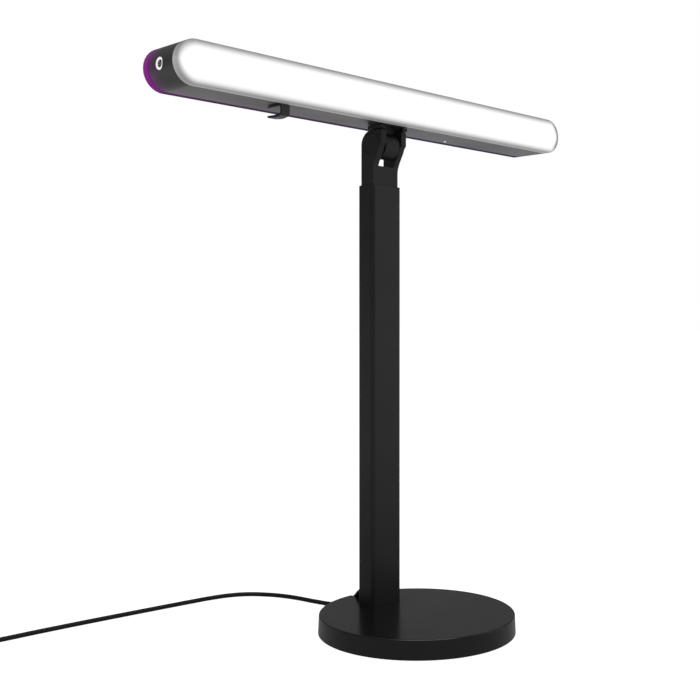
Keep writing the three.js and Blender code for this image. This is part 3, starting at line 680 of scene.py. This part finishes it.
def make_cover():
    """A pressed metal cover with a rolled top edge, a hole for the post and a notch for the cord."""
    foot, top = base_high.x, base_high.x - 0.0005
    bottom, crown = base_low.z, base_high.z
    wall, rolled = 0.0022, 0.0009
    above, beyond = 0.03, 0.08  # well clear of the cover's top and rim
    shell = turned([
        (top - 0.006, crown - wall, 0), (top - wall, crown - wall, 0.0006),
        (foot - wall, bottom, 0.0002), (foot, bottom, 0.0003), (top, crown, rolled),
        (top - 0.004, crown, 0),
    ], ALONG_Z, count=256)
    outer_half = NOTCH_HALF + NOTCH_SIDE_WALL
    notch_box = box_mesh((NOTCH_X - outer_half, NOTCH_INNER - NOTCH_WALL, NOTCH_FLOOR - NOTCH_WALL),
                         (NOTCH_X + outer_half, top - 0.001, crown - 0.001))
    notch = box_mesh((NOTCH_X - NOTCH_HALF, NOTCH_INNER, NOTCH_FLOOR),
                     (NOTCH_X + NOTCH_HALF, beyond, above))
    notch_end = rod(NOTCH_HALF, NOTCH_FLOOR, above, ALONG_Z, (NOTCH_X, NOTCH_INNER, 0))
    post_hole = swept(rounded_rect(post_size.x + 2 * FIT, post_size.y + 2 * FIT, POST_CORNER + FIT),
                      [(0, 0), (0, above)], ALONG_Z, (0, post_middle.y, 0))
    mesh = carved(carved(shell, [notch_box], "UNION"), [notch, notch_end, post_hole])
    piece("cover_shell", mesh, "base", cover_coat, ["base_cover"], edge=0.00025)


def make_foot_ring():
    """A rubber ring with shallow grooves in its underside, cut out round the screws."""
    low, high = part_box("foot_pad")
    inner, outer, plain, screw_clearance = 0.022, high.x, 0.001, 0.0036
    pitch, groove_depth, groove_width, groove_ramp = 0.0035, 0.0003, 0.0016, 0.0004
    corners = [(inner, high.z, 0), (outer, high.z, 0.0002), (outer, low.z, 0.0002)]
    r = outer - pitch
    while r - pitch > inner + plain:
        end = r - groove_width
        corners += [(r, low.z, 0), (r - groove_ramp, low.z + groove_depth, 0),
                    (end + groove_ramp, low.z + groove_depth, 0), (end, low.z, 0)]
        r -= pitch
    corners.append((inner, low.z, 0))
    ring = turned(corners, ALONG_Z, count=128, closed=True)
    holes = [rod(screw_clearance, -PAST, PAST, ALONG_Z, (p.x, p.y, 0)) for p in screw_places]
    piece("foot_ring", carved(ring, holes), "base", pad_rubber, ["foot_pad"])


make_cover()
make_foot_ring()

# ---------------------------------------------------------------- post and mast
def tube(node, corner, wall, edge):
    """A rectangular tube as large as its CAD node, with softened ends."""
    low, high, size, middle = box_of(node)
    section = softened([
        (0, low.z, edge), (0, high.z, edge), (wall, high.z, edge), (wall, low.z, edge),
    ], True)
    return swept(rounded_rect(size.x, size.y, corner), section, ALONG_Z, (middle.x, middle.y, 0),
                 closed=True)


def make_tubes():
    """The fixed post, with a hole for the lead low in its rear wall, and the mast that slides in it."""
    grommet_hole = rod(0.0027, post_middle.y, post_high.y + PAST, ALONG_Y, (0, 0, LEAD_HEIGHT))
    post = carved(tube("outer_tube", POST_CORNER, wall=0.0012, edge=0.0004), [grommet_hole])
    piece("post_tube", post, "base", powder_coat, ["outer_tube"])
    mast = tube("inner_tube", corner=0.0016, wall=0.001, edge=0.0002)
    piece("mast_tube", mast, "mast", powder_coat, ["inner_tube"])


make_tubes()

# ---------------------------------------------------------------- tilt hinge
fork_low, fork_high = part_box("fork_head")
hinge_place = (0, hinge.y, hinge.z)
FORK_STEM_LOW = 0.2853
FORK_SWELL_LOW = 0.2965
SPIGOT = (0.0209, 0.0085, 0.0006)  # width, depth and corner
SLOT_HALF = 0.007
SLOT_FLOOR = 0.3003
SLOT_TOP = 0.35  # well clear of the ears
SLOT_FLARE = 0.002
EAR_RADIUS = 0.0095
EAR_STEP = 0.0016  # how far the front steps back under the ears
EAR_CORNER = 0.001
CAP_RADIUS = 0.0072
CAP_DEPTH = 0.0011
CAP_GAP = 0.00012
BOLT_HOLE = 0.0027
BOLT_REACH = 0.03


def bezier(a, b, c, d, steps=12):
    """Points along a cubic curve from a to d, without a itself."""
    a, b, c, d = (Vector(p) for p in (a, b, c, d))
    points = []
    for i in range(1, steps + 1):
        t = i / steps
        u = 1 - t
        points.append(a * u ** 3 + b * 3 * u * u * t + c * 3 * u * t * t + d * t ** 3)
    return points


def fork_outline():
    """The fork from the side, in Y and Z: a stem that swells forward into two ears."""
    rear, front = fork_high.y, fork_low.y
    stem_front = 2 * post_middle.y - rear
    ear_low = Vector((front, hinge.z + 0.0002))
    step = Vector((front + EAR_STEP, hinge.z - 0.0017))
    swell = ((0.0241, 0.307), (stem_front, 0.3025), (stem_front, FORK_SWELL_LOW))
    points = [Vector((stem_front, FORK_STEM_LOW)), Vector((rear, FORK_STEM_LOW))]
    points += arc((hinge.y, hinge.z), EAR_RADIUS, 0, math.pi / 2, 20)
    points += arc((front + EAR_CORNER, fork_high.z - EAR_CORNER), EAR_CORNER, math.pi / 2, math.pi, 6)
    return points + [ear_low, step] + bezier(step, *swell)


def fork_slot():
    """The gap between the ears, wider where it meets their rear faces."""
    flare_start, behind = fork_high.y - SLOT_FLARE, fork_high.y + SLOT_FLARE
    in_front = fork_low.y - PAST
    half_line = [(SLOT_HALF, in_front), (SLOT_HALF, flare_start), (SLOT_HALF + 2 * SLOT_FLARE, behind)]
    outline = [Vector(p) for p in half_line] + [Vector((-x, y)) for x, y in reversed(half_line)]
    return swept(lambda inset: outline, [(0, SLOT_FLOOR), (0, SLOT_TOP)], ALONG_Z)


def make_fork():
    """The fork, the spigot under it that plugs into the mast, and the ways for the bolt and the lead."""
    half, edge, inset = fork_high.x, 0.0008, 0.002
    corners = [(inset, -half, 0), (0, -half, edge), (0, half, edge), (inset, half, 0)]
    # Only the round edges are swept: the flat sides are the solid's own ends.
    section = [(max(0, p.x), p.y) for p in softened(corners) if p.x <= edge]
    body = swept(freehand(fork_outline()), section, ALONG_X)
    spigot = swept(rounded_rect(*SPIGOT), [(0, fork_low.z), (0, FORK_STEM_LOW + 0.002)], ALONG_Z,
                   (0, post_middle.y, 0))
    bore = rod(BOLT_HOLE, -BOLT_REACH, BOLT_REACH, ALONG_X, hinge_place)
    pocket = CAP_RADIUS + CAP_GAP
    left_pocket = rod(pocket, -BOLT_REACH, CAP_DEPTH - half, ALONG_X, hinge_place, count=96)
    right_pocket = rod(pocket, half - CAP_DEPTH, BOLT_REACH, ALONG_X, hinge_place, count=96)
    lead_hole = rod(0.002, fork_low.z - 0.001, SLOT_FLOOR + 0.001, ALONG_Z, (0, post_middle.y, 0))
    cutters = [fork_slot(), bore, lead_hole, left_pocket, right_pocket]
    mesh = carved(carved(body, [spigot], "UNION"), cutters)
    piece("fork", mesh, "mast", black_plastic, ["fork_head"], edge=0.0002)


def make_hinge_caps():
    """Round covers over the bolt's ends, each with a shallow dish in its face."""
    rim, dish, middle = CAP_RADIUS - 0.0009, CAP_RADIUS - 0.0012, CAP_RADIUS - 0.003
    dish_depth = 0.0002
    for side, name in ((-1, "left"), (1, "right")):
        low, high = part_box(f"pivot_cap_{name}")
        inner, outer = (high.x, low.x) if side < 0 else (low.x, high.x)
        floor = outer - side * dish_depth
        mesh = turned([
            (CAP_RADIUS - 0.001, inner, 0), (CAP_RADIUS, inner, 0.0001), (CAP_RADIUS, outer, 0.00025),
            (rim, outer, 0.0001), (dish, floor, 0.0001), (middle, floor, 0),
        ], ALONG_X, hinge_place)
        piece(f"hinge_cap_{name}", mesh, "mast", black_plastic, [f"pivot_cap_{name}"])


def make_bracket():
    """The barrel between the ears, its neck, and the plate under the bar."""
    low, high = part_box("tilt_bracket")
    barrel_half, barrel_radius, recess_half, past = 0.0061, high.y - hinge.y, 0.008, 0.002
    neck_front, rear = hinge.y - 0.00435, hinge.y + 0.00295
    plate_low = fork_high.z + FIT
    barrel = rod(barrel_radius, -barrel_half, barrel_half, ALONG_X, hinge_place, 0.0005, 96)
    plate = box_mesh((low.x, low.y, plate_low), (high.x, rear, high.z), 0.0003)
    recess = box_mesh((-recess_half, low.y - past, plate_low - past),
                      (recess_half, neck_front, high.z + past), 0.0005)
    neck = box_mesh((-barrel_half, neck_front, hinge.z), (barrel_half, rear, high.z - 0.0005), 0.0004)
    bore = rod(BOLT_HOLE, -BOLT_REACH, BOLT_REACH, ALONG_X, hinge_place)
    mesh = carved(carved(plate, [recess]), [neck, barrel], "UNION")
    piece("bracket", carved(mesh, [bore]), "light_bar", black_plastic,
          ["tilt_bracket"], edge=0.00015)


make_fork()
make_hinge_caps()
make_bracket()

# ---------------------------------------------------------------- light bar
bar_low, bar_high, bar_size, bar_middle = box_of("bar_housing")
front_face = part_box("front_diffuser")[0].y
rear_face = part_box("rear_diffuser")[1].y
button_low, button_high, _, button_centre = box_of("button_ring")
button_place = (0, button_centre.y, button_centre.z)
status_low, status_high, _, status_centre = box_of("status_light")
status_place = (status_centre.x, status_centre.y, 0)
bar_outline = stadium(bar_size.x, bar_size.z)
bar_place = (bar_middle.x, 0, bar_middle.z)
WALL = 0.0016
LIP = WALL + FIT
LIP_WALL = 0.0012
FRONT_RIM = bar_low.y - FIT
REAR_RIM = bar_high.y + FIT
LED_PITCH = 0.0166
BUTTON_RADIUS = 0.0035
STATUS_RADIUS = 0.0013


def make_housing():
    """The bar's long tube, open front and rear, with holes for the button, lead and status light."""
    edge = 0.00025
    section = softened([
        (0, bar_low.y, edge), (0, bar_high.y, edge), (WALL, bar_high.y, edge), (WALL, bar_low.y, edge),
    ], True)
    shell = swept(bar_outline, section, ALONG_Y, bar_place, closed=True)
    button_hole = rod(BUTTON_RADIUS + 0.0002, bar_low.x - PAST, bar_low.x + PAST, ALONG_X, button_place)
    status_hole = rod(STATUS_RADIUS + 0.0002, bar_low.z - PAST, bar_low.z + PAST, ALONG_Z, status_place)
    lead_place = (0, post_middle.y - 0.0046, 0)
    lead_hole = rod(0.003, bar_low.z - PAST, bar_low.z + PAST, ALONG_Z, lead_place)
    mesh = carved(shell, [button_hole, status_hole, lead_hole])
    piece("housing", mesh, "light_bar", housing_with_painted_spill(), ["bar_housing"],
          edge=0.0002)


def make_diffuser(name, face, rim, lip_end, fillet, lit, node):
    """A hollow cap with a rounded face edge and a lip that plugs into the housing.

    Only its outside is lit. The lip and the inside are black.
    """
    out = 1 if face > rim else -1
    inside, inner_face = LIP + LIP_WALL, face - out * 0.0018
    section = softened([
        (inside + 0.002, inner_face, 0), (inside, inner_face, 0.0004), (inside, lip_end, 0.0002),
        (LIP, lip_end, 0.0002), (LIP, rim, 0.0001), (0, rim, 0.0001), (0, face, fillet),
        (fillet + 0.0012, face, 0),
    ], steps=10)
    mesh = swept(bar_outline, [(p.x, p.y) for p in section], ALONG_Y, bar_place)
    piece(name, mesh, "light_bar", lit, [node])
    mesh.materials.append(black_plastic)
    for polygon in mesh.polygons:
        outward = polygon.normal.dot(polygon.center - bar_middle) > 0
        behind_rim = (polygon.center.y - rim) * out < 0
        polygon.material_index = 0 if outward and not behind_rim else 1


def make_button():
    """A white ring round a recessed button that bears a plain on-off mark."""
    bore, face, back = 0.0024, button_low.x, button_high.x
    ring = turned([
        (bore, face, 0.0002), (BUTTON_RADIUS, face, 0.0003), (BUTTON_RADIUS, back, 0.0001),
        (bore, back, 0.0001),
    ], ALONG_X, button_place, count=64, closed=True)
    piece("button_bezel", ring, "light_bar", lit_white("lit_ring", 0.6), ["button_ring"])
    cap_low, cap_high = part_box("power_button")
    radius, stem, head_end = 0.0021, 0.0012, cap_low.x + 0.0031
    cap = turned([
        (0.0006, cap_low.x + 0.0001, 0), (0.0014, cap_low.x, 0.0003), (radius, cap_low.x, 0.0003),
        (radius, head_end, 0.0002), (stem, head_end, 0.0001), (stem, cap_high.x, 0.0002),
        (0.0004, cap_high.x, 0),
    ], ALONG_X, button_place, count=64)
    piece("button_cap", cap, "power_button", black_plastic, ["power_button"])


def make_button_mark():
    """An open ring with a short bar in its gap, printed on the button."""
    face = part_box("power_button")[0].x
    radius, stroke, lift = 0.0009, 0.00011, 0.00003
    gap, steps = math.radians(35), 40
    ring_rows = []
    for i in range(steps + 1):
        angle = math.pi / 2 + gap + (2 * math.pi - 2 * gap) * i / steps
        u, v = math.cos(angle), math.sin(angle)
        ring_rows.append([(r * u, r * v) for r in (radius - stroke, radius + stroke)])
    bar_rows = [[(-stroke, v), (stroke, v)] for v in (radius * 0.35, radius * 1.35)]
    bm = bmesh.new()
    for rows in (ring_rows, bar_rows):
        lines = [[bm.verts.new((face - lift, button_centre.y - u, button_centre.z + v)) for u, v in row]
                 for row in rows]
        for low, high in zip(lines, lines[1:]):
            bm.faces.new((low[0], low[1], high[1], high[0]))
    grown = bmesh.ops.extrude_face_region(bm, geom=list(bm.faces))
    shifted = [v for v in grown["geom"] if isinstance(v, bmesh.types.BMVert)]
    bmesh.ops.translate(bm, verts=shifted, vec=(2 * lift, 0, 0))
    piece("button_mark", to_mesh(bm), "power_button", white_plastic)


def make_clip():
    """A hook under the bar, open to the rear, for a cable."""
    low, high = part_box("cable_clip")
    front, tip = low.y, high.y
    middle = (front + tip) / 2
    upper, opening, back, thin = 0.001, 0.0042, 0.0015, 0.0003
    slot_top = high.z - upper
    slot_low = slot_top - opening
    under = slot_low - back
    low_r, high_r = 0.0009, 0.0006
    low_sag, high_sag = (middle, under - 0.0009), (middle, slot_low - 0.0007)
    points = softened([(front, high.z, 0), (front, under, 0.0008), (tip, under, 0)])[:-1]
    points += bezier(points[-1], low_sag, low_sag, (tip, under))
    points.append(Vector((tip, slot_low - thin)))
    points += bezier(points[-1], high_sag, high_sag, (front + 0.0022, slot_low))
    points += arc((front + back + low_r, slot_low + low_r), low_r, 1.5 * math.pi, math.pi, 6)
    points += arc((front + back + high_r, slot_top - high_r), high_r, math.pi, math.pi / 2, 6)
    points += [Vector((tip, slot_top)), Vector((tip, high.z))]
    mesh = swept(freehand(points), [(0, low.x), (0, high.x)], ALONG_X)
    piece("clip", mesh, "light_bar", satin_plastic, ["cable_clip"], edge=0.0002)


def make_status_lens():
    """A small clear lens under the bar, domed at its lower end."""
    low, high = status_low.z, status_high.z
    mesh = turned([
        (0.0003, low, 0), (0.0009, low + 0.0001, 0.0003), (STATUS_RADIUS, low + 0.0004, 0.0002),
        (STATUS_RADIUS, high, 0.0002), (0.0004, high, 0),
    ], ALONG_Z, status_place, count=48)
    piece("status_lens", mesh, "light_bar", lit_white("lit_dot", 1.2), ["status_light"])


def lit_opal():
    """White diffusing plastic that glows over its face, with painted shade that dims the glow towards its outline
    and down its side.

    Each list of shades pairs a distance from the bar's axis with the share of the glow taken away there by painted
    shade.
    """
    n = Nodes("lit_opal")
    n.set(Roughness=0.35, Specular_IOR_Level=0.4)
    n.link(n.ramp(n.noise(80), [(0.3, 0.2), (0.7, 0.24)]), n.shader.inputs["Base Color"])
    n.bump(n.noise(900, 2), 0.00001)
    # Painted shade: the glow fades towards the outline and down the side walls.
    painted_outline_shade = n.ramp(from_axis(n), [(0.0, 1.0), (0.82, 1.0), (0.93, 0.76), (1.0, 0.44)])
    down = n.ramp(n.along("Y", front_face, FRONT_RIM), [(0.0, 1.0), (0.2, 0.7), (0.4, 0.6), (1.0, 0.75)])
    glow = n.math("MULTIPLY", painted_outline_shade, down)
    # Painted shade, deeper along the upper and lower edges and at the right-hand tip.
    reach = 0.4 * bar_size.z
    upper = n.along("Z", bar_middle.z, bar_middle.z + reach)
    lower = n.spread(n.axis("Z"), 1.0, 0.0, bar_middle.z - reach, bar_middle.z)
    right = n.along("X", bar_high.x - reach, bar_high.x - reach / 2)
    for side, shades in (
            (upper, [(0.42, 0.0), (0.54, 0.1), (0.64, 0.2), (0.71, 0.35), (0.84, 0.66), (0.92, 0.8)]),
            (lower, [(0.52, 0.0), (0.64, 0.08), (0.76, 0.2), (0.86, 0.31), (0.93, 0.36), (1.0, 0.38)]),
            (right, [(0.42, 0.0), (0.58, 0.12), (0.7, 0.5), (0.78, 0.85)])):
        painted_shade_there = n.math("MULTIPLY", side, n.ramp(from_axis(n), shades))
        glow = n.math("MULTIPLY", glow, n.math("SUBTRACT", 1.0, painted_shade_there))
    n.link(glow, n.shader.inputs["Emission Strength"])
    n.set(Emission_Color=(1.0, 1.0, 1.0))
    return n.material


def past_end(n):
    """How far a point lies into the bar's round ends: 0 on the straight run, and 1 at either tip."""
    radius = bar_size.z / 2
    outside = n.math("SUBTRACT", n.math("ABSOLUTE", n.axis("X")), bar_size.x / 2 - radius)
    return n.math("DIVIDE", n.math("MAXIMUM", outside), radius)


def from_axis(n):
    """How far a point lies from the bar's long axis: 1 on its outline, all the way round."""
    height = n.math("DIVIDE", n.math("SUBTRACT", n.axis("Z"), bar_middle.z), bar_size.z / 2)
    return n.hypotenuse(past_end(n), height)


def end_to_end(n):
    """The panel's colour, from magenta at the button's end to blue at the other."""
    return n.ramp(n.along("X", bar_low.x, bar_high.x), [
        (0.0, (0.30, 0.006, 0.33)), (0.25, (0.14, 0.006, 0.22)), (0.55, (0.05, 0.015, 0.2)),
        (1.0, (0.010, 0.014, 0.2))])


def lit_colour():
    """Frosted plastic lit through by a row of LEDs, brighter over its face than down its side, with painted shade
    towards its outline.
    """
    n = Nodes("lit_colour")
    n.set(Roughness=0.6, Specular_IOR_Level=0.08)
    n.link(n.ramp(n.noise(80), [(0.3, 0.02), (0.7, 0.03)]), n.shader.inputs["Base Color"])
    n.bump(n.noise(900, 2), 0.00001)
    n.link(end_to_end(n), n.shader.inputs["Emission Color"])
    depth = n.ramp(n.along("Y", REAR_RIM, rear_face), [(0.0, 0.0), (0.75, 0.0), (1.0, 1.0)])
    # Painted shade: the glow dims towards the panel's outline.
    painted_outline_shade = n.ramp(from_axis(n), [(0.0, 1.0), (0.6, 0.92), (0.9, 0.6), (1.0, 0.35)])
    wave = n.math("SINE", n.math("MULTIPLY", n.axis("X"), 2 * math.pi / LED_PITCH))
    ripple = n.spread(wave, 0.95, 1.0, -1.0, 1.0)
    face = n.math("MULTIPLY", n.math("MULTIPLY", depth, painted_outline_shade), ripple)
    side = n.ramp(past_end(n), [(0.0, 0.06), (0.3, 0.24), (1.0, 0.3)])
    glow = n.math("MULTIPLY", n.math("MAXIMUM", face, side), 2.5)
    n.link(glow, n.shader.inputs["Emission Strength"])
    return n.material


def housing_with_painted_spill():
    """The housing's satin plastic, with painted light: a glow in the rear panel's colour over its rear half."""
    n = Nodes("housing_with_painted_spill")
    n.link(n.ramp(n.noise(60, 4), [(0.3, 0.052), (0.7, 0.062)]), n.shader.inputs["Base Color"])
    n.link(n.spread(n.noise(25, 5), 0.30, 0.38), n.shader.inputs["Roughness"])
    n.bump(n.noise(900, 3), 0.00001)
    n.set(Specular_IOR_Level=0.45)
    n.link(end_to_end(n), n.shader.inputs["Emission Color"])
    # Painted light: the rear panel's colour glows on the housing, rising towards the rear edge.
    painted_spill_glow = n.ramp(n.along("Y", bar_low.y, bar_high.y), [(0.0, 0.0), (0.6, 0.0), (1.0, 0.16)])
    n.link(painted_spill_glow, n.shader.inputs["Emission Strength"])
    return n.material


def lit_white(name, strength):
    """Small clear parts with a white light behind them."""
    n = Nodes(name)
    n.set(Roughness=0.3, Emission_Color=(1.0, 1.0, 1.0), Emission_Strength=strength)
    n.link(n.ramp(n.noise(400), [(0.3, 0.7), (0.7, 0.8)]), n.shader.inputs["Base Color"])
    n.bump(n.noise(1200, 2), 0.00001)
    return n.material


make_housing()
make_diffuser("front_lens", front_face, FRONT_RIM, lip_end=FRONT_RIM + 0.003, fillet=0.0026,
              lit=lit_opal(), node="front_diffuser")
make_diffuser("rear_lens", rear_face, REAR_RIM, lip_end=REAR_RIM - 0.0024, fillet=0.0012,
              lit=lit_colour(), node="rear_diffuser")
make_button()
make_button_mark()
make_clip()
make_status_lens()
